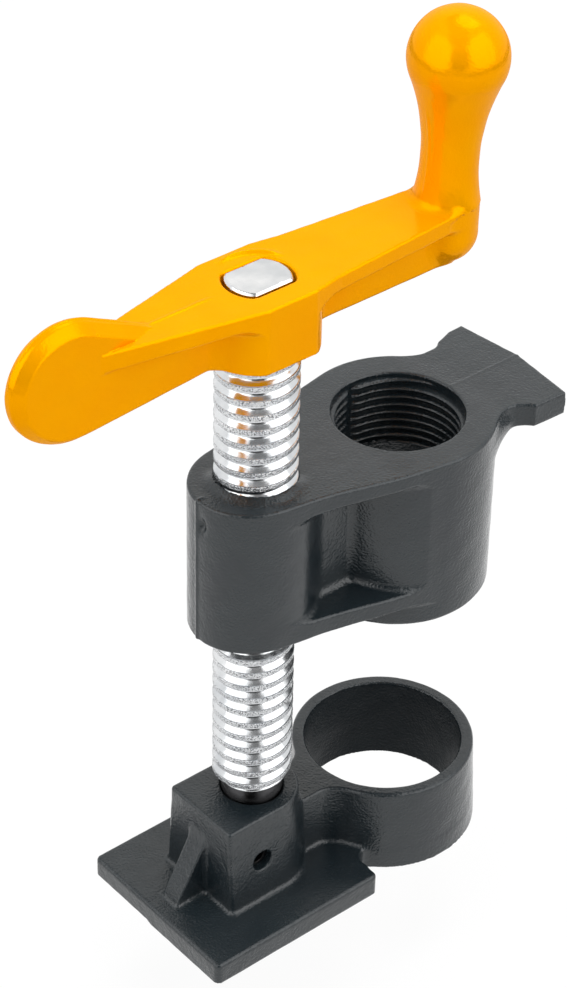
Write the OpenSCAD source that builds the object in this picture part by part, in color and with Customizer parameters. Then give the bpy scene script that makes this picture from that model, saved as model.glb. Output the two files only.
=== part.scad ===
// Screw end of a woodworking pipe clamp: a cast head with a crank screw and a sliding jaw.
// All sizes are in millimetres. Z runs along the screw, with zero at the jaw's clamping face,
// and X runs from the screw's axis to the axis of the pipe.

/* [Layout] */
// Distance between the screw's axis and the pipe's axis
pipe_offset = 35.3; // [33.5:0.1:40]
// Gap between the jaw's block and the head, as the clamp stands
jaw_gap = 43.8; // [5:0.1:60]
// Gap between the head's top and the handle, as the clamp stands
handle_gap = 30.8; // [5:0.1:60]

/* [Moving jaw] */
// Thickness of the clamping plate
plate_t = 5; // [4:0.1:8]
// Width of the clamping plate across the jaw
plate_w = 40.4; // [34:0.1:60]
// Distance from the screw's axis to the plate's outer edge
plate_back = 24.8; // [22.5:0.1:40]
// Distance from the screw's axis to the plate's edge on the pipe's side
plate_front = 17.2; // [15:0.1:18]
// Corner radius of the plate
plate_corner = 2; // [0.5:0.1:4]
// Height of the socket block above the clamping face
block_h = 25.7; // [22:0.1:32]
// Width of the socket block at its top
block_w = 18.8; // [17.5:0.1:21]
// Draft of the block, the growth of its half width from its top to the plate
block_draft = 1.3; // [0.2:0.1:2]
// Distance from the screw's axis to the block's flat back
block_back = 13.3; // [10.5:0.1:16]
// Depth of the screw's socket below the block's top, to the foot of its wall
socket_depth = 17; // [14:0.1:18]
// Thickness of the rib behind the block
rib_t = 4.8; // [3:0.1:8]
// Length of the rib along the plate
rib_reach = 7.7; // [4:0.1:9]
// Height of the rib's top above the clamping face
rib_h = 18.8; // [12:0.1:21]
// Inside diameter of the ring that runs on the pipe
ring_bore_d = 32.6; // [30:0.1:34]
// Wall of the ring at its top
ring_wall = 2.6; // [1.8:0.1:4]
// Draft of the ring, the growth of its wall from top to foot
ring_draft = 1; // [0.1:0.1:1.5]
// Height of the ring
ring_h = 19.3; // [14:0.1:21]
// Width of the neck between block and ring
neck_w = 10.8; // [7:0.1:15]
// Radius of the fillets between neck and ring
neck_fillet = 3.5; // [1:0.1:4]
// Radius of the fillets between the plate's edge and the ring
plate_fillet = 3.4; // [1.5:0.1:4]

/* [Retaining pin] */
// Diameter of the cross hole, and of the spring pin in it
pin_d = 4.5; // [3:0.1:5]
// Distance from the screw's axis to the pin's axis
pin_offset = 5.2; // [4.6:0.1:5.6]
// Height of the pin's axis above the clamping face
pin_z = 14.7; // [13.5:0.1:16]
// Wall of the rolled pin
pin_wall = 0.7; // [0.4:0.05:1]
// Slot left open along the rolled pin
pin_slot = 0.8; // [0.3:0.05:1.2]
// Distance from the block's side to each end of the pin, at the pin's height
pin_recess = 1.2; // [0.3:0.1:3]

/* [Screw] */
// Outside diameter of the screw's thread
screw_d = 15.875; // [15:0.125:16.5]
// Diameter of the plain journal in the jaw
journal_d = 12.4; // [11.6:0.1:13.2]
// Plain journal left showing between block and thread
journal_show = 3.6; // [1:0.1:4.8]
// Chamfer at both ends of the thread
thread_chamfer = 1; // [0.4:0.1:1.4]
// Diameter of the tenon that drives the handle
tenon_d = 12.7; // [11:0.1:14]
// Width across the tenon's flats
tenon_flats = 9.2; // [7:0.1:10.5]
// Height of the tenon above the handle's top
tenon_proud = 0.3; // [0.1:0.1:1]
// Chamfer round the tenon's top
tenon_chamfer = 0.5; // [0.2:0.1:1]

/* [Head] */
// Height of the head along the screw
head_h = 31.8; // [26:0.1:45]
// Radius of the boss that holds the screw's nut thread
nut_boss_r = 13; // [11:0.1:14]
// Radius of the boss that holds the pipe's thread
pipe_boss_r = 19.2; // [17:0.1:20]
// Length of the pipe's boss below the rest of the head
pipe_boss_drop = 5.5; // [0.5:0.1:12]
// Outside diameter of the pipe's thread
pipe_thread_d = 26.44; // [24:0.02:28]
// Chamfer at the mouths of the pipe's hole
mouth_chamfer = 0.7; // [0.2:0.1:1.2]
// Thickness of the web between the bosses
head_web_t = 15.4; // [9:0.1:17]
// Thickness of the top flange at its rim
top_flange_t = 3.3; // [2:0.1:6]
// Thickness of the bottom flange at its rim
bottom_flange_t = 3.1; // [2:0.1:6]
// Draft of both flanges, their growth in thickness from rim to web
flange_draft = 1.3; // [0.2:0.1:3]
// Radius of the fillets between web and bosses
head_fillet = 3; // [1:0.1:4]

/* [Head foot] */
// Thickness of the foot beside the pipe's boss
foot_t = 5; // [3.5:0.1:9]
// Width of the foot's bar
foot_w = 30.4; // [28:0.1:44]
// Width of the neck that carries the bar
foot_neck_w = 24.4; // [16:0.1:25]
// Distance from the pipe's axis to the end face of the bar, at its corners
foot_reach = 30.2; // [28:0.1:36]
// Depth of the bar along the foot
foot_bar = 7.6; // [5:0.1:8]
// Crown of the bar's end face, at the mould's parting line
foot_crown = 1.6; // [0.2:0.1:3]
// Radius of the fillets under the foot and beside its neck
foot_fillet = 3; // [1:0.1:3.4]

/* [Crank handle] */
// Height of the handle's arms and hub
handle_h = 13.5; // [11:0.1:18]
// Diameter of the hub
hub_d = 22.9; // [21:0.1:25]
// Width of the hub between its flat sides
hub_w = 19.8; // [17:0.1:20.5]
// Thickness of the arms' top flange at its edges
arm_flange_t = 3.1; // [2:0.1:5]
// Draft of the arms' flange, its growth in thickness from edge to web
arm_draft = 0.9; // [0.1:0.1:2]
// Thickness of the arms' web and of the paddle
arm_web_t = 5.4; // [4:0.1:8]
// Radius of the fillets between hub and web
arm_fillet = 2.5; // [1:0.1:3.5]
// Distance from the screw's axis to the grip's foot
grip_offset = 44.8; // [36:0.1:60]
// Distance from the screw's axis to the centre of the paddle's round end
paddle_offset = 42.9; // [36:0.1:60]
// Radius of the paddle's round end
paddle_r = 11.6; // [8.5:0.1:14]
// Depth by which the paddle's round end hangs below the arms
paddle_drop = 2; // [0:0.1:4]
// Bevel round the paddle's rim
paddle_bevel = 1.5; // [0.4:0.1:1.6]
// Distance from the screw's axis to where the flange dies into the paddle
flange_tip = 36.9; // [28:0.1:36.9]
// Width of the flange where it dies into the paddle
flange_tip_w = 5.8; // [5.6:0.1:8]
// Distance from the screw's axis to where the paddle rises out of the flange
paddle_heel = 24.5; // [18:0.1:27]

/* [Grip] */
// Radius of the ball at the grip's end
grip_ball_r = 9.45; // [8:0.05:12]
// Height of the ball's centre above the handle's top
grip_ball_z = 28.7; // [24:0.1:45]
// Radius of the grip's waist
grip_waist_r = 5.4; // [4.5:0.05:6.2]
// Height of the waist above the handle's top
grip_waist_z = 8.8; // [6:0.1:11]
// Radius of the boss under the grip
grip_boss_r = 6.4; // [5:0.05:7]
// Outward lean of the grip, in degrees
grip_lean = 2.2; // [0:0.1:6]

/* [Fits] */
// Running clearance on the radius between the screw and its two bores
run_clear = 0.05; // [0.02:0.01:0.09]
// Clearance round the tenon, round the pin in its groove, and under the screw's tip
seat_clear = 0.15; // [0.05:0.01:0.3]
// Clearance on the radius of the pressed pin
press_clear = 0.01; // [0.005:0.005:0.05]

/* [Hidden] */
$fn = 96;
// Facets on the children of a hull
hull_fn = 32;
// Facets on the grip's hollow arc, whose radius is far larger than the grip
arc_fn = 360;
// Overrun of every cut past the face that it opens, and of joined forms into each other
over = 0.5;
// Place of the centre of the fillet under the foot, as a share of its radius from the boss
fillet_start_share = 0.95;
// Depth by which the neck's fillets run into the ring, as a share of the ring's wall
neck_bite_share = 0.05;
// Depth by which the web's fillets run into the hub, as a share of the hub's radius
hub_bite_share = 0.01;
// Radius of the paddle's corners at its heel, as a share of the web's thickness
heel_share = 0.43;
// Angle of a drill's point
drill_point = 118;
// Heights above the clamping face, each one worked out from the one below it
thread_z = block_h + journal_show;
head_z = block_h + jaw_gap;
head_top = head_z + head_h;
handle_z = head_top + handle_gap;
handle_top = handle_z + handle_h;
tenon_top = handle_top + tenon_proud;
// Radii of the turned and bored surfaces
screw_r = screw_d / 2;
journal_r = journal_d / 2;
socket_r = journal_r + run_clear;
nut_r = screw_r + run_clear;
pipe_r = pipe_thread_d / 2;
ring_bore_r = ring_bore_d / 2;
ring_top_r = ring_bore_r + ring_wall;
pin_r = pin_d / 2;
groove_r = pin_r + seat_clear;
hub_r = hub_d / 2;
// Foot of the socket's wall, and the depth of the drill's point below it
socket_z = block_h - socket_depth;
point_h = socket_r / tan(drill_point / 2);
// Half width of the block at a height above the clamping face
function block_half(z) = block_w / 2 + block_draft * (block_h - z) / (block_h - plate_t);
// Half length of the hub's flat sides
hub_flat = sqrt(pow(hub_r, 2) - pow(hub_w / 2, 2));
// Radius of the grip's hollow side, an arc tangent to the ball that touches the waist
grip_rise = grip_ball_z - grip_waist_z;
grip_arc_r = (pow(grip_waist_r, 2) + pow(grip_rise, 2) - pow(grip_ball_r, 2))
    / (2 * (grip_ball_r - grip_waist_r));
// Place where that arc meets the ball, as a radius and a height above the handle's top
grip_join_r = grip_ball_r * (grip_waist_r + grip_arc_r) / (grip_ball_r + grip_arc_r);
grip_join_z = grip_ball_z - grip_ball_r * grip_rise / (grip_ball_r + grip_arc_r);

// Copies its children to both sides of the XZ plane
module both_sides() {
    children();
    mirror([0, 1, 0]) children();
}

// Rectangle with round corners, from one corner to the opposite one
module rounded_rect(x0, x1, w, r) {
    translate([x0 + r, -w / 2]) square([x1 - x0 - 2 * r, w]);
    translate([x0, -w / 2 + r]) square([x1 - x0, w - 2 * r]);
    for (x = [x0 + r, x1 - r], y = [r - w / 2, w / 2 - r]) translate([x, y]) circle(r);
}

// Bar of width w that leaves a disc of radius r at the origin along +X, up to the end of
// the two fillets of radius f that join it to the disc
module root_fillet(r, w, f) {
    y = w / 2 + f;
    x = sqrt(pow(r + f, 2) - pow(y, 2));
    both_sides() difference() {
        polygon([[0, 0], [x, 0], [x, y]]);
        translate([x, y]) circle(f);
    }
}

// Plan shape round two discs of radius r0 at the origin and r1 at distance d along +X
module belt(r0, r1, d) {
    a = acos((r0 - r1) / d);
    circle(r0);
    translate([d, 0]) circle(r1);
    both_sides() polygon([
        [0, 0], [d, 0],
        [d + r1 * cos(a), r1 * sin(a)],
        [r0 * cos(a), r0 * sin(a)]
    ]);
}

// Extrudes a section drawn in Y and Z along X, from x0 to x1
module along_x(x0, x1) {
    translate([x0, 0, 0]) rotate([90, 0, 90]) linear_extrude(x1 - x0) children();
}

// Extrudes a section drawn in X and Z along Y, w wide and centred
module along_y(w) {
    translate([0, w / 2, 0]) rotate([90, 0, 0]) linear_extrude(w) children();
}

// Hole of radius r from z0 to z1, with a chamfer at each mouth
module chamfered_hole(r, z0, z1) {
    c = mouth_chamfer;
    translate([0, 0, z0 - over]) cylinder(h = z1 - z0 + 2 * over, r = r);
    translate([0, 0, z0 - over]) cylinder(h = c + over, r1 = r + c + over, r2 = r);
    translate([0, 0, z1 - c]) cylinder(h = c + over, r1 = r, r2 = r + c + over);
}

// Socket block of the jaw: flat back and sides, round towards the pipe, drafted all round
module socket_block() {
    foot = block_half(0);
    top = block_half(block_h);
    cylinder(h = block_h, r1 = foot, r2 = top);
    along_x(-block_back, 0) polygon([[-foot, 0], [foot, 0], [top, block_h], [-top, block_h]]);
}

// Plate of the jaw with the foot of the ring and the fillets between them
module jaw_plan() {
    x = plate_front + plate_fillet;
    y = sqrt(pow(ring_top_r + plate_fillet, 2) - pow(pipe_offset - x, 2));
    rounded_rect(-plate_back, plate_front, plate_w, plate_corner);
    translate([pipe_offset, 0]) circle(ring_top_r);
    both_sides() difference() {
        polygon([[0, 0], [0, y], [x, y], [pipe_offset, 0]]);
        translate([x, y]) circle(plate_fillet);
    }
}

// Sliding jaw, one casting: plate, socket block, rib, neck and the ring round the pipe
module moving_jaw() color([0.24, 0.25, 0.26]) difference() {
    union() {
        linear_extrude(plate_t) jaw_plan();
        socket_block();
        along_y(rib_t) polygon([
            [-block_back - rib_reach, 0], [-block_back - rib_reach, plate_t],
            [-block_back, rib_h], [0, rib_h], [0, 0]
        ]);
        linear_extrude(ring_h) {
            translate([0, -neck_w / 2]) square([pipe_offset - ring_bore_r, neck_w]);
            translate([pipe_offset, 0]) mirror([1, 0])
                root_fillet(ring_top_r - ring_wall * neck_bite_share, neck_w, neck_fillet);
        }
        translate([pipe_offset, 0, 0])
            cylinder(h = ring_h, r1 = ring_top_r + ring_draft, r2 = ring_top_r);
    }
    translate([pipe_offset, 0, -over]) cylinder(h = ring_h + 2 * over, r = ring_bore_r);
    translate([0, 0, socket_z]) cylinder(h = socket_depth + over, r = socket_r);
    translate([0, 0, socket_z - point_h]) cylinder(h = point_h, r1 = 0, r2 = socket_r);
    translate([-pin_offset, 0, pin_z]) rotate([90, 0, 0])
        cylinder(h = 2 * (block_half(0) + over), r = pin_r, center = true);
}

// Rolled spring pin in the cross hole, which runs in the groove of the screw's journal
module retaining_pin() color([0.62, 0.63, 0.65]) {
    r = pin_r - press_clear;
    length = 2 * (block_half(pin_z) - pin_recess);
    translate([-pin_offset, 0, pin_z]) rotate([90, 0, 0]) difference() {
        cylinder(h = length, r = r, center = true);
        cylinder(h = length + 2 * over, r = r - pin_wall, center = true);
        translate([-r, 0, 0])
            cube([2 * r, pin_slot, length + 2 * over], center = true);
    }
}

// Round bar of radius r from z0 to z1 with a chamfer c at each end
module chamfered_bar(r, z0, z1, c) {
    translate([0, 0, z0 + c]) cylinder(h = z1 - z0 - 2 * c, r = r);
    translate([0, 0, z0]) cylinder(h = c, r1 = r - c, r2 = r);
    translate([0, 0, z1 - c]) cylinder(h = c, r1 = r, r2 = r - c);
}

// Screw: thread as its outside diameter, grooved journal below it and flatted tenon above
module screw_spindle() color([0.78, 0.79, 0.81]) {
    tip_z = socket_z + seat_clear;
    difference() {
        union() {
            chamfered_bar(screw_r, thread_z, handle_z, thread_chamfer);
            translate([0, 0, tip_z])
                cylinder(h = thread_z + thread_chamfer - tip_z, r = journal_r);
            translate([0, 0, tip_z - point_h + run_clear])
                cylinder(h = point_h - run_clear, r1 = 0, r2 = journal_r);
        }
        rotate_extrude() {
            translate([pin_offset, pin_z]) circle(groove_r);
            translate([pin_offset, pin_z - groove_r]) square([journal_r, 2 * groove_r]);
        }
    }
    intersection() {
        chamfered_bar(tenon_d / 2, handle_z - tenon_chamfer, tenon_top, tenon_chamfer);
        translate([-screw_r, -tenon_flats / 2, handle_z - tenon_chamfer])
            cube([screw_d, tenon_flats, tenon_top - handle_z + tenon_chamfer]);
    }
}

// Section through the head between its bosses: two drafted flanges joined by the web
module head_section() {
    rim = pipe_boss_r + over;
    web = head_web_t / 2;
    floor_z = head_z + bottom_flange_t;
    roof_z = head_top - top_flange_t;
    both_sides_of_section() polygon([
        [0, head_z], [rim, head_z], [rim, floor_z], [web, floor_z + flange_draft],
        [web, roof_z - flange_draft], [rim, roof_z], [rim, head_top], [0, head_top]
    ]);
}

// Copies a section to both sides of its vertical centre line
module both_sides_of_section() {
    children();
    mirror([1, 0]) children();
}

// Plan of the foot beside the pipe's boss: neck and crowned bar, from the pipe's axis
module foot_plan() {
    bar_x = foot_reach - foot_bar;
    half_w = foot_w / 2;
    neck = foot_neck_w / 2;
    translate([0, -neck]) square([bar_x + over, foot_neck_w]);
    polygon([
        [bar_x, -half_w], [foot_reach, -half_w], [foot_reach + foot_crown, 0],
        [foot_reach, half_w], [bar_x, half_w]
    ]);
    both_sides() difference() {
        translate([bar_x - foot_fillet, neck - over])
            square([foot_fillet + over, half_w - neck + over]);
        translate([bar_x - foot_fillet, neck + foot_fillet]) circle(foot_fillet);
        translate([bar_x - foot_fillet - over, neck + foot_fillet])
            square([foot_fillet + over, half_w]);
    }
}

// Foot beside the pipe's boss, flush with the head's top, with the fillet under its neck
module foot() {
    translate([pipe_offset, 0, head_top - foot_t]) {
        linear_extrude(foot_t) foot_plan();
        intersection() {
            rotate_extrude() difference() {
                translate([0, -foot_fillet])
                    square([pipe_boss_r + foot_fillet, foot_fillet + over]);
                translate([pipe_boss_r + foot_fillet * fillet_start_share, -foot_fillet])
                    circle(foot_fillet);
            }
            translate([0, -foot_neck_w / 2, -foot_fillet])
                cube([foot_reach, foot_neck_w, foot_fillet + over]);
        }
    }
}

// Boss for the pipe's thread, with the foot beside it
module pipe_boss() union() {
    translate([pipe_offset, 0, head_z - pipe_boss_drop])
        cylinder(h = head_h + pipe_boss_drop, r = pipe_boss_r);
    foot();
}

// Clamp head, one casting: nut boss and pipe boss joined by flanges and web, and the foot
module clamp_head() color([0.24, 0.25, 0.26]) difference() {
    union() {
        pipe_boss();
        translate([0, 0, head_z]) cylinder(h = head_h, r = nut_boss_r);
        intersection() {
            translate([0, 0, head_z]) linear_extrude(head_h)
                belt(nut_boss_r, pipe_boss_r, pipe_offset);
            along_x(-nut_boss_r - over, pipe_offset + pipe_boss_r + over) head_section();
        }
        translate([0, 0, head_z]) linear_extrude(head_h) {
            root_fillet(nut_boss_r, head_web_t, head_fillet);
            translate([pipe_offset, 0]) mirror([1, 0])
                root_fillet(pipe_boss_r, head_web_t, head_fillet);
        }
    }
    translate([0, 0, head_z - over]) cylinder(h = head_h + 2 * over, r = nut_r);
    translate([pipe_offset, 0, 0])
        chamfered_hole(pipe_r, head_z - pipe_boss_drop, head_top);
}

// Plan of the arms' top flange: widest at the hub, tapered to the grip and to the paddle
module flange_plan() {
    half_w = hub_w / 2;
    tip = flange_tip_w / 2;
    polygon([
        [-flange_tip, -tip], [-hub_flat, -half_w], [hub_flat, -half_w],
        [grip_offset, -grip_boss_r], [grip_offset, grip_boss_r],
        [hub_flat, half_w], [-hub_flat, half_w], [-flange_tip, tip]
    ]);
}

// Section through an arm, a tee: drafted flange above the web
module arm_section() {
    half_w = hub_w / 2;
    web = arm_web_t / 2;
    edge_z = handle_top - arm_flange_t;
    root_z = edge_z - arm_draft;
    polygon([
        [-web, handle_z], [web, handle_z], [web, root_z], [half_w, edge_z],
        [half_w, handle_top], [-half_w, handle_top], [-half_w, edge_z], [-web, root_z]
    ]);
}

// Disc of the paddle's plate with a bevelled rim, its axis along Y
module bevelled_disc(r, t, bevel) {
    rotate([90, 0, 0]) {
        cylinder(h = t - 2 * bevel, r = r, center = true, $fn = hull_fn);
        cylinder(h = t, r = r - bevel, center = true, $fn = hull_fn);
    }
}

// Paddle: an upright plate that starts at the hub, under the arm's flange, and rises out of
// the flange at its heel to a round end
module paddle() {
    heel_r = arm_web_t * heel_share;
    hull() {
        translate([-paddle_offset, 0, handle_z - paddle_drop + paddle_r])
            bevelled_disc(paddle_r, arm_web_t, paddle_bevel);
        translate([-paddle_heel, 0, handle_top - heel_r])
            bevelled_disc(heel_r, arm_web_t, paddle_bevel);
        translate([-hub_r, 0, handle_z + heel_r])
            bevelled_disc(heel_r, arm_web_t, paddle_bevel);
    }
}

// Grip: a ball on a hollow waisted stem, all turned about one leaning axis
module grip() {
    translate([grip_offset, 0, handle_top]) rotate([0, grip_lean, 0]) {
        translate([0, 0, grip_ball_z]) sphere(grip_ball_r);
        rotate_extrude() difference() {
            translate([0, -arm_flange_t])
                square([grip_join_r, grip_join_z + arm_flange_t]);
            translate([grip_waist_r + grip_arc_r, grip_waist_z]) circle(grip_arc_r, $fn = arc_fn);
        }
    }
}

// Boss under the grip, with a round bottom level with the web
module grip_boss() {
    translate([grip_offset, 0, handle_z]) {
        translate([0, 0, grip_boss_r]) sphere(grip_boss_r);
        translate([0, 0, grip_boss_r]) cylinder(h = handle_h - grip_boss_r, r = grip_boss_r);
    }
}

// Crank handle, one casting: hub, two arms of tee section, grip at one end, paddle at the other
module crank_handle() color([0.96, 0.62, 0.02]) difference() {
    union() {
        intersection() {
            translate([0, 0, handle_z]) linear_extrude(handle_h) flange_plan();
            along_x(-flange_tip, grip_offset) arm_section();
        }
        intersection() {
            translate([0, 0, handle_z]) cylinder(h = handle_h, r = hub_r);
            translate([-hub_r, -hub_w / 2, handle_z]) cube([hub_d, hub_w, handle_h]);
        }
        translate([0, 0, handle_z]) linear_extrude(handle_h - arm_flange_t)
            for (side = [0, 1]) mirror([side, 0])
                root_fillet(hub_r * (1 - hub_bite_share), arm_web_t, arm_fillet);
        paddle();
        grip_boss();
        grip();
    }
    intersection() {
        translate([0, 0, handle_z - over])
            cylinder(h = handle_h + 2 * over, r = tenon_d / 2 + seat_clear);
        translate([-hub_r, -tenon_flats / 2 - seat_clear, handle_z - over])
            cube([hub_d, tenon_flats + 2 * seat_clear, handle_h + 2 * over]);
    }
}

moving_jaw();
retaining_pin();
screw_spindle();
clamp_head();
crank_handle();
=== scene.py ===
"""Looks of the pipe clamp's screw end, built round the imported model.

The three castings, the spring pin and the screw's tenon are described as distance fields: a
function gives the distance from any point to the surface, less than zero inside. Fields join
with round fillets, as cast iron does, and each is turned into a mesh. The screw's thread, its
journal and the pipe's thread are swept meshes. Lengths of the clamp are millimetres in the
part's own frame, and turn into metres where a mesh is made. Lengths of the studio are metres.
"""
import math

import bmesh
import bpy
import numpy as np
import openvdb
from mathutils import Matrix, Vector


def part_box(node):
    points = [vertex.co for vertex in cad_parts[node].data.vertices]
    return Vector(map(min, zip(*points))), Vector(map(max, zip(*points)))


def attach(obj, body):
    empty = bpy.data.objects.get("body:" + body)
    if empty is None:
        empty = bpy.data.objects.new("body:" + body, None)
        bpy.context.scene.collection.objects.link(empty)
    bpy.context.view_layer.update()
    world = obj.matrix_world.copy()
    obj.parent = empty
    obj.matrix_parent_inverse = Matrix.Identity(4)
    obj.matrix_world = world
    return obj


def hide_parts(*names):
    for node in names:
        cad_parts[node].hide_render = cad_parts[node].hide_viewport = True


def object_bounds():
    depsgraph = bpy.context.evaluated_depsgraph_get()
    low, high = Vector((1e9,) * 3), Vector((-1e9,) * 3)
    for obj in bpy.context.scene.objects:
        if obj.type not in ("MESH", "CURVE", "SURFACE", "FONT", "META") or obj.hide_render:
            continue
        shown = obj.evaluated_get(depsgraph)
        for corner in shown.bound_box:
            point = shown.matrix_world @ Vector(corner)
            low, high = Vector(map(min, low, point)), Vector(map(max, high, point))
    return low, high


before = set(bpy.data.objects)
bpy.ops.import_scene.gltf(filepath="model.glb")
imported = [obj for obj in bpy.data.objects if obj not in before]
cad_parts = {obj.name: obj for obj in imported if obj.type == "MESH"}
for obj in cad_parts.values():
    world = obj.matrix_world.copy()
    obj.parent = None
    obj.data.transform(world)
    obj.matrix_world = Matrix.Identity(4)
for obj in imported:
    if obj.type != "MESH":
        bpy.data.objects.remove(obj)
cad_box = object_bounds()
MM = 0.001

# Layout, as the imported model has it
PIPE_X = 35.3
PLATE_T = 5.0
BLOCK_TOP = 25.7
PIN_X, PIN_Z = -5.2, 14.7
THREAD_LOW = 29.3
HEAD_LOW = 69.5
HEAD_TOP = 101.3
ARM_LOW = 132.1
ARM_TOP = 145.6
TENON_TOP = 145.9
GRIP_X = 44.8
# Farther than any point of the clamp is from any surface
FAR = 500.0


# Fields

def union(a, b, r):
    """Both solids, with a round fillet of radius r where they meet."""
    near = np.hypot(np.maximum(r - a, 0), np.maximum(r - b, 0))
    return np.maximum(r, np.minimum(a, b)) - near


def common(a, b, r):
    """What both solids share, with edges of radius r where their surfaces meet."""
    return -union(-a, -b, r)


def cut(a, b, r):
    """Solid a without b, with edges of radius r round the cut."""
    return common(a, -b, r)


def disc(u, v, u0, v0, r):
    return np.hypot(u - u0, v - v0) - r


def slab(u, low, high):
    return np.maximum(low - u, u - high)


def rect(u, v, u0, u1, v0, v1, r=0.0):
    """Rectangle with corners of radius r."""
    a = np.abs(u - (u0 + u1) / 2) - (u1 - u0) / 2 + r
    b = np.abs(v - (v0 + v1) / 2) - (v1 - v0) / 2 + r
    return np.hypot(np.maximum(a, 0), np.maximum(b, 0)) + np.minimum(np.maximum(a, b), 0) - r


def polygon(u, v, points):
    """Any closed outline, given by its corners in order."""
    nearest = FAR ** 2
    inside = False
    for (u0, v0), (u1, v1) in zip(points, points[1:] + points[:1]):
        du, dv = u1 - u0, v1 - v0
        along = ((u - u0) * du + (v - v0) * dv) / (du * du + dv * dv)
        along = np.clip(along, 0, 1)
        nearest = np.minimum(nearest, (u - u0 - du * along) ** 2 + (v - v0 - dv * along) ** 2)
        if dv != 0:
            crosses = ((v0 <= v) != (v1 <= v)) & (u < u0 + (v - v0) * du / dv)
            inside = inside ^ crosses
    return np.where(inside, -1, 1) * np.sqrt(nearest)


def belt(u, v, d, r0, r1):
    """Two discs, at 0 and at distance d along u, with a belt drawn round both."""
    lean = (r1 - r0) / d
    rise = math.sqrt(1 - lean * lean)
    side = np.abs(v)
    along = rise * u + lean * side
    straight = rise * side - lean * u - r0
    far_end = np.hypot(u - d, side) - r1
    return np.where(along < 0, np.hypot(u, side) - r0, np.where(along > rise * d, far_end, straight))


def bump(t, width):
    """A smooth hill of height 1 round t = 0."""
    return np.exp(-(t / width) ** 2)


def step(t, low, high):
    """Rises smoothly from 0 at low to 1 at high."""
    s = np.clip((t - low) / (high - low), 0, 1)
    return s * s * (3 - 2 * s)


def ripple(x, y, z, wave, seed):
    """Slow unevenness of a cast surface, about 1 at most, as the mean of three waves."""
    waves = 3
    total = 0
    for i in range(waves):
        a = seed + 2.1 * i
        k = 2 * math.pi / wave * (1 + 0.37 * i)
        turned = x * math.cos(a) + y * math.sin(a)
        total = total + np.sin(k * turned + a) * np.sin(k * (z + y * math.sin(2 * a)) + 2 * a)
    return total / waves


# Castings

def head_field(x, y, z):
    """Clamp head: nut boss, pipe boss, web and flanges, and the foot."""
    side = np.abs(y)
    nut_r, pipe_r, web_half, boss_low = 13.0, 19.2, 7.7, 64.0
    web_floor, web_roof, web_draft = 73.9, 97.2, 1.3 / 12
    neck_end, neck_half, foot_low = 60.5, 12.2, 96.1
    hole_r, pool_h, bore_high_r, bore_low_r, bore_step = 8.0, 1.1, 13.0, 12.2, 85.6
    foot_drop, nut_rise, roof_rise = 0.2, 0.6, 0.5
    wide_share, long_share = 0.083, 0.03
    near_nut = step(-x, -24.0, -4.0)
    oval = y * (1.0 + wide_share * near_nut)
    out = x / (1 + long_share * step(-x, 0.0, 8.0))
    top = HEAD_TOP + foot_drop - foot_drop * step(x, 46.0, 53.0) + nut_rise * near_nut
    bottom = HEAD_LOW - 0.15
    plan = belt(out, oval, PIPE_X, nut_r, pipe_r)
    pipe = disc(x, oval, PIPE_X, 0, pipe_r)
    web = rect(x, y, 0, PIPE_X, -web_half, web_half)
    nut = disc(out, oval, 0, 0, nut_r) + 0.8 * step(x, 2.0, 8.0)
    walls = union(union(nut, web, 1.2), pipe, 1.4)
    slope = web_draft * (side - web_half)
    floor, roof = web_floor - slope, web_roof + roof_rise * near_nut + slope
    flanges = common(np.minimum(z - floor, roof - z), plan, 0.6)
    solid = np.maximum(union(walls, flanges, 1.6), plan)
    solid = common(solid, bottom - z, 0.5)
    low_boss = common(pipe, boss_low - z, 0.6)
    solid = np.maximum(union(solid, low_boss, 1.4), plan)
    neck = rect(x, y, PIPE_X, neck_end, -neck_half, neck_half)
    bar = polygon(x, y, [
        (56.2, -12.6), (57.6, -14.95), (65.4, -15.3), (67.1, 0), (65.4, 14.9), (61.7, 14.7),
        (58.2, 12.9)
    ])
    foot = common(union(neck, bar, 3.0), foot_low - z, 0.5)
    solid = union(solid, foot, 2.4 + 2.6 * step(HEAD_TOP - z, 1.0, 4.0))
    solid = common(solid, z - top, 0.6)
    # Enamel that pooled round the screw, on the side toward the camera
    pooled = bump(np.hypot(x, y) - hole_r, 1.5) * step(-x - y, -3.0, 6.0) * step(z, 100, 101)
    solid = np.maximum(solid - pool_h * pooled, -disc(x, y, 0, 0, hole_r))
    bore = np.where(z > bore_step, bore_high_r, bore_low_r)
    solid = cut(solid, disc(x, y, PIPE_X, 0, 0) - bore, 0.45)
    seam = bump(y - 0.8, 0.4) * 0.25 * step(-x, 11.0, 12.5)
    seam = seam + bump(y, 0.3) * 0.10 * step(x, 47, 49)
    chip = bump(z - 97.0, 1.5) * bump(y + 0.6, 0.8) * step(-x, 10, 12)
    return solid - seam + 1.0 * chip + 0.05 * ripple(x, y, z, 11.0, 1.0)


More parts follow.
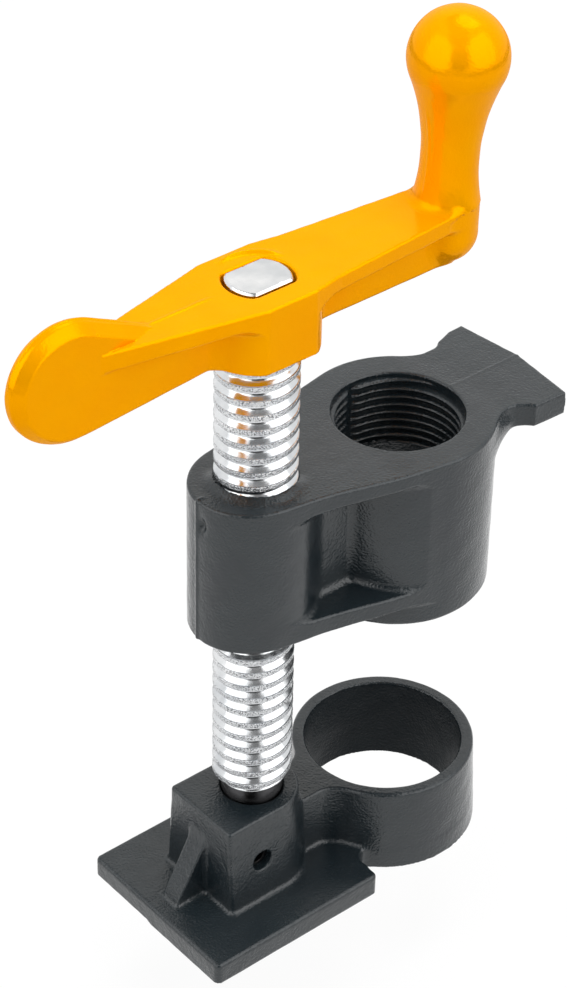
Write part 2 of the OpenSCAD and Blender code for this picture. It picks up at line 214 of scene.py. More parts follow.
def jaw_field(x, y, z):
    """Moving jaw: plate, socket block with its rib, and the ring that runs on the pipe."""
    side = np.abs(y)
    ring_in, ring_top_r, ring_h, ring_draft = 16.3, 18.9, 19.3, 1.0
    notch_x, notch_y, notch_r = 20.2, 15.86, 3.0
    plate_back, plate_front, plate_half, neck_half = -24.8, 17.2, 20.2, 5.4
    block_half, block_draft, block_back = 9.4, 1.3, -13.4
    rib_run, rib_rise, rib_top, rib_cap, rib_end = 7.7, 13.8, 18.8, 20.0, -20.8
    socket_r, socket_low, pin_hole_r = 6.25, 8.7, 2.25
    ring = disc(x, y, PIPE_X, 0, ring_top_r) - ring_draft * (1 - z / ring_h)
    wedge = polygon(x, side, [(0, -1), (0, notch_y), (notch_x, notch_y), (PIPE_X, 0), (PIPE_X, -1)])
    wedge = np.maximum(wedge, -disc(x, side, notch_x, notch_y, notch_r))
    plate = rect(x, y, plate_back, plate_front, -plate_half, plate_half, 1.3)
    ear = bump(x - 16.6, 0.8) * bump(side - 16.2, 1.0)
    plate = plate - 0.4 * ear
    low = np.minimum(np.minimum(plate, wedge), disc(x, y, PIPE_X, 0, ring_top_r))
    low = common(low, z - PLATE_T, 0.8)
    neck = rect(x, y, 0, 20.0, -neck_half, neck_half)
    tall = common(union(neck, ring, 3.5), z - ring_h, 0.7)
    half = block_half + block_draft * (BLOCK_TOP - z) / (BLOCK_TOP - PLATE_T)
    flat = common(side - half, block_back - x, 0.9)
    block = np.where(x > 0, np.hypot(x, y) - half, flat)
    block = common(block, z - BLOCK_TOP + 0.1, 0.6)
    rib = rib_rise * (block_back - x) + rib_run * (z - rib_top)
    rib = rib / math.hypot(rib_run, rib_rise)
    rib = np.maximum(common(rib, slab(y, -2.0, 2.8), 0.5), z - rib_cap)
    rib = common(rib, np.maximum(x, rib_end - x), 0.5)
    solid = union(low, tall, 1.1)
    solid = union(solid, rib, 1.1)
    solid = union(solid, block, 1.1)
    solid = cut(solid, disc(x, y, PIPE_X, 0, ring_in), 0.6)
    # Parting step: on one side of the mould's parting line, the plate's end starts higher
    mismatch = 0.5 * step(-x, 23.4, 24.2) * step(y, 1.5, 3.0)
    solid = common(solid, mismatch - z, 0.12)
    socket = np.maximum(disc(x, y, 0, 0, socket_r), socket_low - z)
    solid = cut(solid, socket, 0.5)
    solid = cut(solid, disc(x, z, PIN_X, PIN_Z, pin_hole_r), 0.35)
    return solid + 0.045 * ripple(x, y, z, 9.0, 4.0)


def grip_field(x, y, z):
    """Grip: a ball on a hollow waisted stem, turned about one leaning axis."""
    lean = math.radians(2.2)
    waist_r, waist_z, ball_r, ball_z, arc_r, sunk = 5.45, 8.8, 9.45, 28.7, 42.05, 0.4
    u = (x - GRIP_X) * math.cos(lean) - (z - ARM_TOP) * math.sin(lean)
    w = (x - GRIP_X) * math.sin(lean) + (z - ARM_TOP) * math.cos(lean)
    radius = np.hypot(u, y)
    ball = np.hypot(radius, w - ball_z) - ball_r
    join = ball_z - ball_r * (ball_z - waist_z) / (ball_r + arc_r)
    stem = arc_r - np.hypot(radius - waist_r - arc_r, w - waist_z)
    stem = np.maximum(stem, np.maximum(w - join, -sunk - w))
    stem = np.maximum(stem, radius - 2 * ball_r)
    return np.minimum(ball, stem)


def paddle_profile(x, z):
    """Side view of the web and paddle: a round end with a tangent to the heel and one below."""
    end_x, end_z, end_r, heel_x, web_low = -42.9, 141.7, 11.6, -24.5, 132.5
    reach = math.hypot(heel_x - end_x, ARM_TOP - end_z)
    turn = math.atan2(ARM_TOP - end_z, heel_x - end_x) + math.acos(end_r / reach)
    top_touch = (end_x + end_r * math.cos(turn), end_z + end_r * math.sin(turn))
    under_turn = math.radians(-87.7)
    low_touch = (end_x + end_r * math.cos(under_turn), end_z + end_r * math.sin(under_turn))
    profile = polygon(x, z, [
        top_touch, (heel_x, ARM_TOP), (heel_x + 3, ARM_TOP - 2), (GRIP_X, ARM_TOP - 2),
        (GRIP_X, web_low), (8.0, web_low), (-11.0, web_low - 0.05), low_touch, (end_x, end_z)
    ])
    return np.minimum(profile, disc(x, z, end_x, end_z, end_r))


def handle_field(x, y, z):
    """Crank handle: hub, two arms of tee section, the grip and the paddle."""
    side = np.abs(y)
    hub_r, hub_half, blade_half = 11.45, 9.9, 2.7
    boss_r, boss_z = 6.3, 138.8
    hole_r, hole_half = 6.75, 4.95
    hub = common(disc(x, y, 0, 0, hub_r), side - hub_half, 0.25)
    plan = polygon(x, np.abs(y - 0.1), [
        (-36.85, -1), (-36.85, 2.83), (-5.75, hub_half), (5.75, hub_half), (12.0, 8.8),
        (16.6, 8.4), (40.0, 6.5), (45.0, 5.0), (45.0, -1)
    ])
    outline = np.minimum(hub, plan)
    under = 142.5 - 0.9 * (hub_half - side) / (hub_half - blade_half)
    flange = common(plan, under - z, 0.5)
    boss = disc(x, y, GRIP_X, 0, boss_r)
    foot = np.sqrt((x - GRIP_X) ** 2 + y * y + (z - boss_z) ** 2) - boss_r
    knob = np.where(z > boss_z, boss, foot)
    profile = paddle_profile(x, z)
    round_end = step(-x, 21, 27) * np.maximum(step(z, 133, 140), step(-x, 38, 54))
    bevel = 0.5 + 1.4 * round_end
    blade = common(profile, side - blade_half, 0.2)
    blade = common(blade, (profile + side - blade_half + bevel) / math.sqrt(2), 0.25)
    arms = union(flange, blade, 0.4)
    hub = common(hub, ARM_LOW - z, 0.15)
    solid = np.maximum(union(arms, hub, 2.6), np.minimum(outline, blade))
    solid = np.where(x > -14, np.maximum(solid, ARM_LOW - z), solid)
    solid = common(solid, z - ARM_TOP, 0.4)
    solid = np.minimum(solid, np.maximum(blade, ARM_TOP - 4 - z))
    knob = np.minimum(np.maximum(knob, z - ARM_TOP), grip_field(x, y, z))
    solid = union(solid, knob, 1.5)
    hole = common(disc(x, y, 0, 0, hole_r), side - hole_half, 0.5)
    solid = cut(solid, hole, 0.5)
    seam = 0.16 * step(-x, -43, -40) * step(z, 147, 150) * step(-z, -167, -163) * bump(y, 0.3)
    seam = seam + 0.2 * bump(y, 0.3) * step(-x, 10, 13) * step(z, 144, 145)
    lip = bump(np.hypot(x, y) - 8.4, 0.6) * step(y, 2.5, 6) * step(x, -3.5, 1.5) * step(z, 144, 145)
    return solid - seam - 0.6 * lip + 0.04 * ripple(x, y, z, 10.0, 7.0)


def pin_field(x, y, z):
    """Rolled spring pin: a tube along Y, open along one side."""
    middle_r, wall_half, slot_half, pin_half = 1.89, 0.35, 0.4, 8.3
    tube = np.abs(disc(x, z, PIN_X, PIN_Z, middle_r)) - wall_half
    slot = np.maximum(np.abs(z - PIN_Z) - slot_half, x - PIN_X)
    return common(cut(tube, slot, 0.1), np.abs(y) - pin_half, 0.2)


def tenon_field(x, y, z):
    """Flatted tenon that drives the handle, chamfered round its top."""
    tenon_r, flat_half, chamfer = 6.2, 4.55, 0.4
    plan = common(disc(x, y, 0, 0, tenon_r), np.abs(y) - flat_half, 0.25)
    top = TENON_TOP + 0.05 * ripple(x, y, z, 3.0, 2.0)
    solid = np.maximum(plan, slab(z, ARM_LOW - 1.0, TENON_TOP))
    return np.maximum(solid, (plan + z - top + chamfer) / math.sqrt(2))


# Meshes

def gradient(field, points, h=0.02):
    """Slope of a field at each point, by central differences."""
    slopes = []
    for axis in np.eye(3):
        ahead, behind = points + h * axis, points - h * axis
        slopes.append((field(*ahead.T) - field(*behind.T)) / (2 * h))
    return np.stack(slopes, axis=1)


def surface(field, low, high, voxel):
    """Points, quads and normals of the surface where a field is zero."""
    rounds, least_slope = 3, 0.25
    first = [math.floor(a / voxel) - 1.5 for a in low]
    counts = [math.ceil((b - a) / voxel) + 5 for a, b in zip(low, high)]
    axes = [(start + np.arange(count)) * voxel for start, count in zip(first, counts)]
    shape = [len(a) for a in axes]
    values = np.broadcast_to(field(*np.meshgrid(*axes, indexing="ij", sparse=True)), shape)
    grid = openvdb.FloatGrid(FAR)
    grid.copyFromArray(np.ascontiguousarray(values, dtype=np.float32))
    points, quads = grid.convertToQuads(0.0)
    points = points.astype(float) * voxel + np.array([a[0] for a in axes])
    for _ in range(rounds):
        slope = gradient(field, points)
        steep = np.maximum((slope ** 2).sum(axis=1), least_slope)
        move = np.clip(field(*points.T) / steep, -voxel / 2, voxel / 2)
        points -= move[:, None] * slope
    normals = gradient(field, points)
    normals /= np.linalg.norm(normals, axis=1)[:, None]
    return points, quads.tolist(), normals


def new_piece(name, points, faces, body, node, material, normals=None):
    """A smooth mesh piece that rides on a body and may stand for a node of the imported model."""
    mesh = bpy.data.meshes.new(name)
    mesh.from_pydata((np.asarray(points) * MM).tolist(), [], faces)
    mesh.polygons.foreach_set("use_smooth", [True] * len(mesh.polygons))
    mesh.update()
    if normals is not None:
        mesh.normals_split_custom_set_from_vertices(normals.tolist())
    mesh.materials.append(material)
    piece = bpy.data.objects.new(name, mesh)
    bpy.context.scene.collection.objects.link(piece)
    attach(piece, body)
    if node:
        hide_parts(node)
    return piece


def formed(node, name, field, body, material, voxel, margin=1.5):
    """A field's mesh, from its node's box with a margin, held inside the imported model's box."""
    low, high = (np.array(corner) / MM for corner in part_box(node))
    points, quads, normals = surface(field, low - margin, high + margin, voxel)
    points = np.clip(points, *(np.array(corner) / MM for corner in cad_box))
    return new_piece(name, points, quads, body, node, material, normals)


# Node helpers for materials

def new_material(name):
    material = bpy.data.materials.new(name)
    material.use_nodes = True
    return material, material.node_tree, material.node_tree.nodes["Principled BSDF"]


def add(tree, kind, inputs=None, **settings):
    """A node with its settings and inputs; an input is a value or another node's output."""
    made = tree.nodes.new(kind)
    for key, value in settings.items():
        setattr(made, key, value)
    for key, value in (inputs or {}).items():
        if isinstance(value, bpy.types.NodeSocket):
            tree.links.new(value, made.inputs[key])
        else:
            made.inputs[key].default_value = value
    return made


def noise(tree, place, scale, detail):
    made = add(tree, "ShaderNodeTexNoise", {"Vector": place, "Scale": scale, "Detail": detail})
    return made.outputs["Fac"]


def spread(tree, value, low, high, out_low, out_high):
    """Maps a value from one range to another, and keeps it within the second."""
    made = add(tree, "ShaderNodeMapRange", {
        "Value": value, "From Min": low, "From Max": high, "To Min": out_low, "To Max": out_high})
    return made.outputs["Result"]


def mixed(tree, share, a, b):
    """Blend of two colours, each a triple or another node's output."""
    colour_a, colour_b, colour_out = 6, 7, 2
    made = add(tree, "ShaderNodeMix", {"Factor": share}, data_type="RGBA")
    for key, value in ((colour_a, a), (colour_b, b)):
        if isinstance(value, bpy.types.NodeSocket):
            tree.links.new(value, made.inputs[key])
        else:
            made.inputs[key].default_value = (*value, 1)
    return made.outputs[colour_out]


def bumped(tree, height, distance, below=None):
    """Normal of a surface that a height shapes, on top of another such normal if one is given."""
    inputs = {"Height": height, "Distance": distance, "Strength": 1.0}
    if below is not None:
        inputs["Normal"] = below
    return add(tree, "ShaderNodeBump", inputs).outputs["Normal"]


def enamel(name, base, worn, rough_low, rough_high, peel, specular):
    """Gloss enamel or paint over cast iron: orange peel, uneven gloss and uneven colour."""
    material, tree, shader = new_material(name)
    place = add(tree, "ShaderNodeTexCoord").outputs["Object"]
    patch_scale, gloss_scale, coarse_scale, fine_scale = 90.0, 160.0, 330.0, 2000.0
    coarse_share, fine_share = 0.6, 1.5
    patches = noise(tree, place, patch_scale, 3.0)
    tone = mixed(tree, spread(tree, patches, 0.35, 0.65, 0.0, 1.0), base, worn)
    tree.links.new(tone, shader.inputs["Base Color"])
    gloss = spread(tree, noise(tree, place, gloss_scale, 4.0), 0.3, 0.7, rough_low, rough_high)
    tree.links.new(gloss, shader.inputs["Roughness"])
    coarse = bumped(tree, noise(tree, place, coarse_scale, 2.0), peel * coarse_share * MM)
    fine = bumped(tree, noise(tree, place, fine_scale, 3.0), peel * fine_share * MM, below=coarse)
    tree.links.new(fine, shader.inputs["Normal"])
    shader.inputs["Specular IOR Level"].default_value = specular
    return material


def metal(name, tone, dull, rough_low, rough_high, grain, grain_depth, torn_from=None):
    """Bare or plated steel with an uneven, slightly pitted skin. Beyond the radius torn_from
    round the Z axis, the skin is torn and speckled, as the crests of a rolled thread are."""
    material, tree, shader = new_material(name)
    place = add(tree, "ShaderNodeTexCoord").outputs["Object"]
    cloud_scale, gloss_scale = 140.0, 420.0
    clouds = noise(tree, place, cloud_scale, 4.0)
    skin_tone = mixed(tree, spread(tree, clouds, 0.35, 0.65, 0.0, 1.0), tone, dull)
    tree.links.new(skin_tone, shader.inputs["Base Color"])
    gloss = spread(tree, noise(tree, place, gloss_scale, 3.0), 0.3, 0.7, rough_low, rough_high)
    tree.links.new(gloss, shader.inputs["Roughness"])
    skin = bumped(tree, noise(tree, place, grain, 3.0), grain_depth * MM)
    if torn_from:
        rag_scale, tear_depth, torn_band, pit_tone = 3800.0, 0.22, 0.2, (0.12, 0.12, 0.13)
        across = add(tree, "ShaderNodeVectorMath", {0: place, 1: (1, 1, 0)}, operation="MULTIPLY")
        radius = add(tree, "ShaderNodeVectorMath", {0: across.outputs[0]}, operation="LENGTH")
        torn = spread(tree, radius.outputs["Value"],
                      torn_from * MM, (torn_from + torn_band) * MM, 0, 1)
        rags = noise(tree, place, rag_scale, 2.0)
        tears = add(tree, "ShaderNodeMath", {0: torn, 1: rags}, operation="MULTIPLY")
        pits = add(tree, "ShaderNodeMath", {0: torn, 1: spread(tree, rags, 0.52, 0.62, 0, 0.8)},
                   operation="MULTIPLY")
        tree.links.new(mixed(tree, pits.outputs[0], skin_tone, pit_tone),
                       shader.inputs["Base Color"])
        skin = bumped(tree, tears.outputs[0], tear_depth * MM, below=skin)
    tree.links.new(skin, shader.inputs["Normal"])
    shader.inputs["Metallic"].default_value = 1.0
    return material


dark_enamel = enamel("dark_enamel", (0.014, 0.021, 0.025), (0.011, 0.017, 0.021),
                     0.04, 0.09, 0.10, 0.6)
# Painted shade: a duller, slightly darker enamel for the ring's bore, which mirrors little, so the
# bore looks dark
bore_shade_enamel = enamel("bore_shade_enamel", (0.013, 0.018, 0.021), (0.010, 0.014, 0.017),
                     0.25, 0.45, 0.14, 0.09)
yellow_paint = enamel("yellow_paint", (1.0, 0.40, 0.0), (0.99, 0.375, 0.0),
                      0.05, 0.11, 0.03, 0.0)
yellow_paint.node_tree.nodes["Principled BSDF"].inputs["Metallic"].default_value = 0.25
zinc = metal("zinc_plate", (0.80, 0.81, 0.82), (0.62, 0.64, 0.66), 0.11, 0.24, 1500.0, 0.012,
             7.72)
# Painted shade: the journal's steel is near black, for the shade in the gap between the jaw's block
# and the end of the thread
journal_shade = metal("journal_shade_steel", (0.05, 0.05, 0.052), (0.02, 0.02, 0.021), 0.18, 0.35, 900.0, 0.03)
# Painted shade: the spring pin's steel is near black, so that the cross hole it sits in looks dark
spring = metal("spring_steel", (0.05, 0.045, 0.04), (0.02, 0.02, 0.02), 0.2, 0.4, 900.0, 0.02)


# Castings as pieces

VOXEL = 0.36
FINE_VOXEL = VOXEL * 0.6
# Faces nearer to the ring's axis than this are its bore, which gets a duller, slightly darker
# enamel: painted shade inside the ring
BORE_SHADE_R = 16.42

formed("clamp_head", "head_cast", head_field, "head", dark_enamel, VOXEL)
jaw = formed("moving_jaw", "jaw_cast", jaw_field, "jaw", dark_enamel, VOXEL)
# Faces of the ring's bore get the duller, darker enamel, as painted shade
jaw.data.materials.append(bore_shade_enamel)
for face in jaw.data.polygons:
    if math.hypot(face.center.x - PIPE_X * MM, face.center.y) < BORE_SHADE_R * MM:
        face.material_index = 1
formed("crank_handle", "handle_cast", handle_field, "screw", yellow_paint, VOXEL)
# The pin wears the near-black steel, painted shade in its hole
formed("retaining_pin", "pin_rolled", pin_field, "jaw", spring, FINE_VOXEL)


# Screw and threads

def lathe(profile, steps=96):
    """A closed turned solid round the Z axis. The profile runs from axis to axis."""
    angles = np.arange(steps) * 2 * math.pi / steps
    points, faces = [(0, 0, profile[0][1])], []
    for r, z in profile[1:-1]:
        points += [(r * math.cos(a), r * math.sin(a), z) for a in angles]
    points.append((0, 0, profile[-1][1]))
    last = len(points) - 1
    rows = len(profile) - 2
    for i in range(steps):
        j = (i + 1) % steps
        faces.append((0, 1 + j, 1 + i))
        for k in range(rows - 1):
            a, b = 1 + k * steps, 1 + (k + 1) * steps
            faces.append((a + i, a + j, b + j, b + i))
        top = 1 + (rows - 1) * steps
        faces.append((top + i, top + j, last))
    return np.array(points), faces


def thread(outline, pitch, low, high, limit, steps):
    """A threaded bar from low to high. The outline gives (height, radius) over one pitch, and
    limit(z) the largest radius at a height, such as a chamfer."""
    heights = np.array([p[0] for p in outline])
    radii = np.array([p[1] for p in outline])
    turns = np.arange(math.floor((low - 2 * pitch) / pitch), math.ceil((high + pitch) / pitch))
    z_rows = (turns[:, None] * pitch + heights[None, :]).ravel()
    r_rows = np.tile(radii, len(turns))
    angles = np.arange(steps + 1) * 2 * math.pi / steps
    z = z_rows[:, None] + pitch * angles[None, :] / (2 * math.pi)
    r = np.repeat(r_rows[:, None], steps + 1, axis=1)
    z_kept = np.clip(z, low, high)
    r = np.minimum(r, limit(z_kept))
    end = (z < low) | (z > high)
    r[end] = limit(z_kept[end])
    points = np.stack([r * np.cos(angles), r * np.sin(angles), z_kept], axis=2)
    cols = steps + 1
    faces = []
    for i in range(len(z_rows) - 1):
        for j in range(steps):
            corners = [i * cols + j, i * cols + j + 1, (i + 1) * cols + j + 1, (i + 1) * cols + j]
            if not (end[i, j] and end[i, j + 1] and end[i + 1, j + 1] and end[i + 1, j]):
                faces.append(corners)
    return points.reshape(-1, 3), faces


def pipe_thread():
    """Internal thread of the pipe boss: a band that stands in the bore, wound with ridges, which
    fade out at both ends and along one upright groove."""
    pitch, turns, steps, crest_r, root_r = 1.814, 8.3, 160, 12.06, 13.22
    start, fade_steps, groove_at, groove_width, groove_share = 2.1, 30, 94, 5.0, 0.9
    section = [(0.0, root_r + 0.4), (0.12, root_r - 0.1), (0.78, crest_r + 0.12),
               (0.9, crest_r), (1.02, crest_r + 0.12), (1.68, root_r - 0.1)]
    count = int(turns * steps)
    points, faces = [], []
    for i in range(count + 1):
        angle = 2 * math.pi * i / steps
        fade = min(1.0, i / fade_steps, (count - i) / fade_steps)
        past_groove = (math.degrees(angle) - groove_at + 180) % 360 - 180
        groove = math.exp(-(past_groove / groove_width) ** 2)
        for rise, r in section:
            depth = (root_r - r) * fade * (1 - groove_share * groove)
            height = HEAD_TOP - start - pitch * i / steps + rise
            points.append((PIPE_X + (root_r - depth) * math.cos(angle),
                           (root_r - depth) * math.sin(angle), height))
    n = len(section)
    for i in range(count):
        for k in range(n):
            a, b = i * n + k, i * n + (k + 1) % n
            faces.append((a, b, b + n, a + n))
    faces.append(tuple(range(n))[::-1])
    faces.append(tuple(count * n + k for k in range(n)))
    return np.array(points), faces


SCREW_R, SCREW_PITCH, SCREW_PHASE, SCREW_STEPS = 15.875 / 2, 3.175, 0.95, 112
CREST, SLOPE, SLOPE_TILT, FLANK_TILT = 0.95, 1.12, math.radians(50), math.radians(70)


def screw_profile():
    """Heights and radii over one turn: a flat crest, a slope that faces up, a round root and a
    steeper flank under the next crest. Points close to each edge keep the faces between them
    evenly shaded."""
    half, edge, wide, small, flank_h = CREST / 2, 0.06, 0.8, 0.3, 0.35
    edge_share = 0.06
    start = (half, SCREW_R - 0.3 * edge)
    fall, drop = SLOPE * math.cos(SLOPE_TILT), SLOPE * math.sin(SLOPE_TILT)
    root = start[1] - drop - wide * (1 - math.cos(SLOPE_TILT))
    root_z = half + fall + wide * math.sin(SLOPE_TILT)
    points = [(0.0, SCREW_R), (half - 2 * edge, SCREW_R), (half - edge, SCREW_R), start]
    points.append((half + edge_share * fall, start[1] - edge_share * drop))
    for i in range(6):
        turn = SLOPE_TILT * (1 - i / 5)
        points.append((root_z - wide * math.sin(turn), root + wide * (1 - math.cos(turn))))
    corner_z = SCREW_PITCH - half - flank_h - small * math.sin(FLANK_TILT)
    for i in range(4):
        turn = FLANK_TILT * i / 3
        points.append((corner_z + small * math.sin(turn), root + small * (1 - math.cos(turn))))
    low_z, low_r = points[-1]
    high_z, high_r = SCREW_PITCH - half, start[1]
    for share in (edge_share, 1 - edge_share, 1.0):
        points.append((low_z + (high_z - low_z) * share, low_r + (high_r - low_r) * share))
    points += [(high_z + edge, SCREW_R), (high_z + 2 * edge, SCREW_R)]
    return [(height + SCREW_PHASE, radius) for height, radius in points]


def screw_limit(z):
    """Largest radius of the screw at a height: a chamfer at each end of its thread."""
    chamfer = 1.1
    return np.minimum(SCREW_R, SCREW_R - chamfer + np.minimum(z - THREAD_LOW, ARM_LOW - z))


def close_ends(mesh, weld=2e-6):
    """Welds the thread's seam, fills both of its ends and turns all faces outward."""
    shape = bmesh.new()
    shape.from_mesh(mesh)
    bmesh.ops.remove_doubles(shape, verts=shape.verts, dist=weld)
    bmesh.ops.dissolve_degenerate(shape, edges=shape.edges, dist=weld)
    rims = [edge for edge in shape.edges if edge.is_boundary]
    bmesh.ops.holes_fill(shape, edges=rims)
    bmesh.ops.recalc_face_normals(shape, faces=shape.faces)
    shape.to_mesh(mesh)
    shape.free()


def journal_profile():
    """Radii and heights of the plain neck from its tip up into the thread, with the pin's
    groove."""
    journal_r, groove_r, tip_edge, groove_edge = 6.2, 4.0, 0.5, 0.3
    tip, groove_low, groove_high, top = 8.9, 12.3, 17.1, THREAD_LOW + 1.5
    return [
        (0, tip), (journal_r - tip_edge, tip), (journal_r, tip + tip_edge),
        (journal_r, groove_low), (groove_r, groove_low + groove_edge),
        (groove_r, groove_high - groove_edge), (journal_r, groove_high), (journal_r, top), (0, top)
    ]


points, faces = pipe_thread()
new_piece("pipe_thread", points, faces, "head", None, dark_enamel)

points, faces = thread(
    screw_profile(), SCREW_PITCH, THREAD_LOW, ARM_LOW, screw_limit, SCREW_STEPS)
screw = new_piece(
    "screw_thread", points, faces, "screw", "screw_spindle", zinc)
close_ends(screw.data)

# The journal carries the near-black steel, painted shade under the thread
points, faces = lathe(journal_profile())
new_piece("screw_journal", points, faces, "screw", None, journal_shade)

points, quads, normals = surface(tenon_field, (-6.6, -4.9, 131.0), (6.6, 4.9, 146.0), FINE_VOXEL)
points[:, 2] = np.minimum(points[:, 2], TENON_TOP)
new_piece("screw_tenon", points, quads, "screw", None, zinc, normals)


# Camera, floor and light

# Camera as fitted to the photograph, with its distance from the origin and how far its axis
# passes to the right of the origin and above it, in millimetres
CAMERA_AZIMUTH = math.radians(-40.448)
CAMERA_ELEVATION = math.radians(36.608)
CAMERA_ROLL = math.radians(1.184)
CAMERA_BACK, CAMERA_RIGHT, CAMERA_UP = 606.241, 6.837, 78.56
# Focal length and height of the photograph, in pixels
FOCAL_PIXELS, PHOTO_HEIGHT = 2940.16, 988
# Height of the floor, just under the jaw at the lowest it goes, and half its width
FLOOR_Z, FLOOR_HALF = -0.0288, 4.0
# Share of the floor's own glow in what the camera sees of it, near the clamp, and where that
# share starts and stops rising to 1
FLOOR_GLOW, GLOW_NEAR, GLOW_FAR = 0.88, 0.25, 0.9
# Strength of the surroundings as a light
DOME_LIGHT = 0.25
# Strength of the dark arch behind the camera and past the top, its radius, half width and
# length in degrees round the clamp
ARCH_LOW, ARCH_HIGH, ARCH_R, ARCH_HALF, ARCH_END, ARCH_STEPS = 0.02, 0.24, 2.0, 0.65, 128.0, 32
# Radius and height of the dark band at the horizon
HORIZON_R, HORIZON_TOP, HORIZON_STEPS = 0.6, 0.06, 96
# Point that the lamps face
MIDDLE = (0.01, 0.0, 0.09)
# Lamps: name, place and size in metres, power in watts, colour, and whether gloss mirrors them
LAMPS = [
    ("lamp_above", (-0.05, -0.05, 1.2), 0.7, 8.2, (1, 1, 1), False),
    ("lamp_top", (0.40, 0.12, 1.0), 0.5, 1.5, (1, 1, 1), True),
    ("lamp_behind", (0.50, 0.59, 0.88), 0.8, 0.2, (1, 0.85, 0.6), True),
    ("lamp_left", (-0.84, 0.10, 0.55), 1.15, 4.4, (1, 1, 1), True),
    ("lamp_right", (0.30, -0.82, 0.57), 1.15, 5.0, (1, 1, 1), True),
]


def camera_at_photo():
    """Camera fitted to the photograph's circles and edges."""
    azimuth, elevation, roll = CAMERA_AZIMUTH, CAMERA_ELEVATION, CAMERA_ROLL
    back = Vector((math.sin(azimuth) * math.cos(elevation),
                   -math.cos(azimuth) * math.cos(elevation), math.sin(elevation)))
    level = Vector((math.cos(azimuth), math.sin(azimuth), 0))
    upright = back.cross(level)
    right = level * math.cos(roll) + upright * math.sin(roll)
    up = back.cross(right)
    place = (back * CAMERA_BACK + right * CAMERA_RIGHT + up * CAMERA_UP) * MM
    data = bpy.data.cameras.new("camera")
    data.sensor_width = 36.0
    data.lens = FOCAL_PIXELS * data.sensor_width / PHOTO_HEIGHT
    data.clip_start = 0.05
    data.clip_end = 50.0
    camera = bpy.data.objects.new("camera", data)
    camera.matrix_world = (
        Matrix.Translation(place) @ Matrix((right, up, back)).transposed().to_4x4())
    bpy.context.scene.collection.objects.link(camera)
    bpy.context.scene.camera = camera


def seen_share(tree):
    """1 for rays from the camera and for mirrored and refracted ones, 0 for all others."""
    path = add(tree, "ShaderNodeLightPath")
    total = path.outputs["Is Camera Ray"]
    for kind in ("Is Glossy Ray", "Is Transmission Ray"):
        total = add(tree, "ShaderNodeMath", {0: total, 1: path.outputs[kind]},
                    operation="ADD", use_clamp=True).outputs[0]
    return total


def stage_plane(name, points, faces, material):
    """A thin piece of the studio, with points in metres."""
    mesh = bpy.data.meshes.new(name)
    mesh.from_pydata(points, [], faces)
    mesh.materials.append(material)
    plane = bpy.data.objects.new(name, mesh)
    bpy.context.scene.collection.objects.link(plane)
    return plane


def mirrored_only(thing):
    """Leaves a piece of the studio to be seen in gloss and plating alone."""
    thing.visible_camera = thing.visible_diffuse = thing.visible_shadow = False


def pale_floor():
    """Wide pale floor under the jaw. It keeps the clamp's soft shadow, and glows white far off."""
    material, tree, shader = new_material("pale_floor")
    shader.inputs["Base Color"].default_value = (0.62, 0.62, 0.62, 1)
    shader.inputs["Roughness"].default_value = 0.9
    white = add(tree, "ShaderNodeEmission", {"Color": (1, 1, 1, 1), "Strength": 1.06})
    place = add(tree, "ShaderNodeTexCoord").outputs["Object"]
    far = add(tree, "ShaderNodeVectorMath", {0: place}, operation="LENGTH").outputs["Value"]
    glow = add(tree, "ShaderNodeMath", {
        0: seen_share(tree),
        1: spread(tree, far, GLOW_NEAR, GLOW_FAR, FLOOR_GLOW, 1.0)}, operation="MULTIPLY")
    blend = add(tree, "ShaderNodeMixShader", {
        "Fac": glow.outputs[0],
        1: shader.outputs[0], 2: white.outputs[0]})
    out = tree.nodes["Material Output"]
    tree.links.new(blend.outputs[0], out.inputs["Surface"])
    w, z = FLOOR_HALF, FLOOR_Z
    stage_plane("floor", [(-w, -w, z), (w, -w, z), (w, w, z), (-w, w, z)], [(0, 1, 2, 3)],
                material)


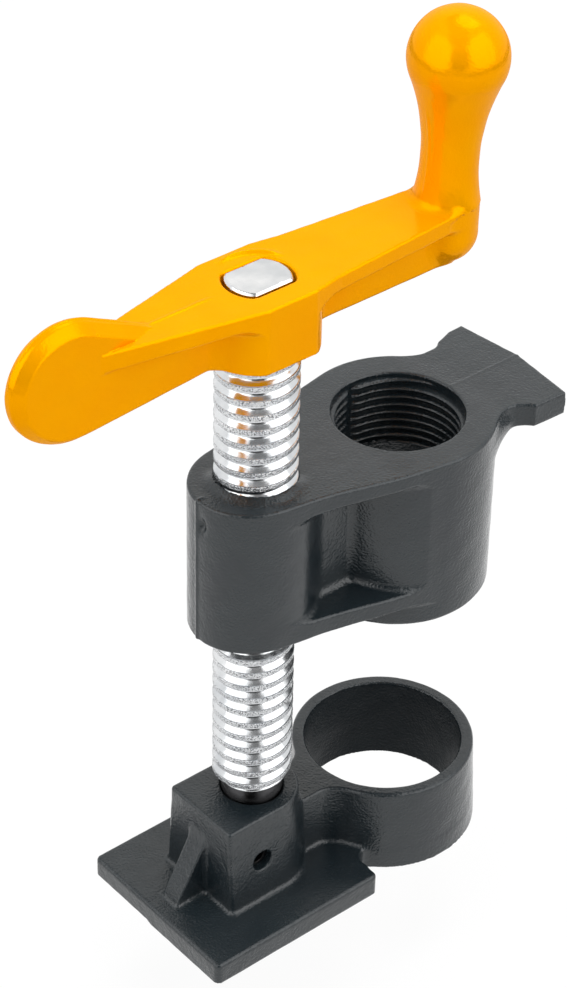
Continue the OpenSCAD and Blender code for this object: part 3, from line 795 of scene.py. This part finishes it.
def dark_arch():
    """Dark strip of the studio behind the camera and overhead, mirrored in gloss and plating."""
    material, tree, _ = new_material("dark_arch")
    place = add(tree, "ShaderNodeTexCoord").outputs["Generated"]
    share = add(tree, "ShaderNodeSeparateXYZ", {0: place}).outputs["Z"]
    glow = add(tree, "ShaderNodeEmission", {
        "Strength": spread(tree, share, 0.2, 0.8, ARCH_LOW, ARCH_HIGH)})
    tree.links.new(glow.outputs[0], tree.nodes["Material Output"].inputs["Surface"])
    level = Vector((math.cos(CAMERA_AZIMUTH), math.sin(CAMERA_AZIMUTH), 0))
    toward = Vector((math.sin(CAMERA_AZIMUTH), -math.cos(CAMERA_AZIMUTH), 0))
    points = []
    for i in range(ARCH_STEPS + 1):
        turn = math.radians(ARCH_END) * i / ARCH_STEPS
        spine = (toward * math.cos(turn) + Vector((0, 0, 1)) * math.sin(turn)) * ARCH_R
        points += [spine - level * ARCH_HALF, spine + level * ARCH_HALF]
    faces = [(2 * i, 2 * i + 1, 2 * i + 3, 2 * i + 2) for i in range(ARCH_STEPS)]
    mirrored_only(stage_plane("dark_arch", points, faces, material))


def dark_horizon():
    """Narrow dark band round the clamp, mirrored in its plating as a dark line."""
    material, tree, _ = new_material("dark_horizon")
    glow = add(tree, "ShaderNodeEmission", {"Strength": ARCH_LOW})
    tree.links.new(glow.outputs[0], tree.nodes["Material Output"].inputs["Surface"])
    points = []
    for i in range(HORIZON_STEPS):
        turn = 2 * math.pi * i / HORIZON_STEPS
        across, along = HORIZON_R * math.cos(turn), HORIZON_R * math.sin(turn)
        points += [(across, along, 0.0), (across, along, HORIZON_TOP)]
    last = 2 * HORIZON_STEPS
    faces = [(2 * i, 2 * i + 1, (2 * i + 3) % last, (2 * i + 2) % last)
             for i in range(HORIZON_STEPS)]
    mirrored_only(stage_plane("dark_horizon", points, faces, material))


def soft_light(name, place, aim, size, power, colour, mirrored):
    data = bpy.data.lights.new(name, "AREA")
    data.shape = "SQUARE"
    data.size = size
    data.energy = power
    data.color = colour
    lamp = bpy.data.objects.new(name, data)
    lamp.location = place
    lamp.rotation_euler = (Vector(aim) - Vector(place)).to_track_quat("-Z", "Y").to_euler()
    lamp.visible_glossy = mirrored
    bpy.context.scene.collection.objects.link(lamp)


def studio():
    """White surroundings, with large soft lamps above, behind and at both sides."""
    world = bpy.data.worlds.new("studio")
    world.use_nodes = True
    tree = world.node_tree
    background = tree.nodes["Background"]
    background.inputs["Color"].default_value = (1, 1, 1, 1)
    tree.links.new(spread(tree, seen_share(tree), 0, 1, DOME_LIGHT, 1.0),
                   background.inputs["Strength"])
    bpy.context.scene.world = world
    for name, place, size, power, colour, mirrored in LAMPS:
        soft_light(name, place, MIDDLE, size, power, colour, mirrored)
    dark_arch()
    dark_horizon()
    bpy.context.scene.view_settings.view_transform = "Standard"


camera_at_photo()
pale_floor()
studio()
